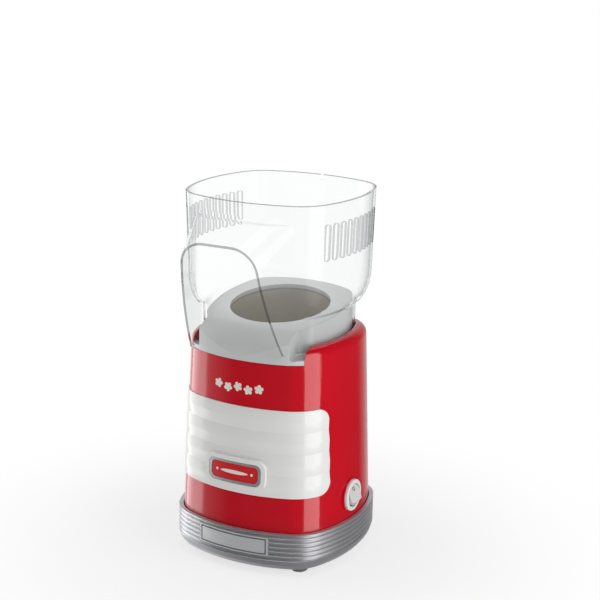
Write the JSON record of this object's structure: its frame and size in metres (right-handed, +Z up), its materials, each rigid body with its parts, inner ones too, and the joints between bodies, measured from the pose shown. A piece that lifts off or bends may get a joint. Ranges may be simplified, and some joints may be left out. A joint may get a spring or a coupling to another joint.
{
  "type": "popcorn maker",
  "caption": "Hot-air popcorn maker with a tapered red housing on a ribbed base, clear lift-off hopper with spout hood, side rocker switch, heater and fan inside.",
  "frame": {"origin": "on the floor, under the middle of the whole object's plan box", "axes": "+Z up, the spout faces -Y, +X is the switch side"},
  "size_m": [0.1517, 0.1746, 0.298],
  "materials": {
    "silver_plastic": "silver metallic paint on plastic, satin",
    "black_plastic": "fine moulded texture",
    "steel": "plated, satin",
    "plate_metal": "brushed, bare",
    "red_plastic": "deep glossy red",
    "white_plastic": "glossy white",
    "chrome_trim": "bright",
    "badge_red": "glossy red enamel look",
    "rocker_plastic": "light grey, satin",
    "brass": "plain",
    "grey_plastic": "light grey heat-resistant plastic, satin",
    "seal_rubber": "matt",
    "aluminium": "drawn sheet, grey",
    "mica": "pale flaky board",
    "heater_wire": "oxidised wire",
    "board_green": "circuit board",
    "clear_plastic": "clear, polished",
    "foot_rubber": "matt"
  },
  "bodies": {
    "body": {"base_shell": "silver_plastic", "bottom_plate": "black_plastic", "base_screws": "steel", "name_plate": "plate_metal", "housing": "red_plastic", "band_panel": "white_plastic", "badge_frame": "chrome_trim", "badge_insert": "badge_red", "switch_bezel": "white_plastic", "switch_body": "black_plastic", "rocker_pin": "steel", "switch_terminals": "brass", "tray": "grey_plastic", "chamber_gasket": "seal_rubber", "popping_chamber": "aluminium", "heater_can": "steel", "mica_board_lower": "mica", "mica_board_upper": "mica", "heating_coil": "heater_wire", "thermostat": "black_plastic", "thermal_fuse": "mica", "fan_housing": "black_plastic", "motor": "steel", "motor_screws": "steel", "rectifier_board": "board_green", "cord_gland": "seal_rubber", "foot_back_left": "foot_rubber", "foot_front_left": "foot_rubber", "foot_back_right": "foot_rubber", "foot_front_right": "foot_rubber"},
    "cover": {"clear_cover": "clear_plastic"},
    "rocker": {"switch_rocker": "rocker_plastic"},
    "fan": {"fan_impeller": "grey_plastic", "motor_shaft": "steel"}
  },
  "joints": [
    {"name": "cover_lift", "type": "slide", "parent": "body", "child": "cover", "axis": [0, 0, 1], "range_m": [0, 0.13]},
    {"name": "switch_rock", "type": "hinge", "parent": "body", "child": "rocker", "pos_m": [0.0679, 0.00775, 0.054], "axis": [0, 1, 0], "range_deg": [0, 18]},
    {"name": "fan_spin", "type": "hinge", "parent": "body", "child": "fan", "pos_m": [0, 0.01175, 0.07], "axis": [0, 0, 1], "continuous": true}
  ]
}
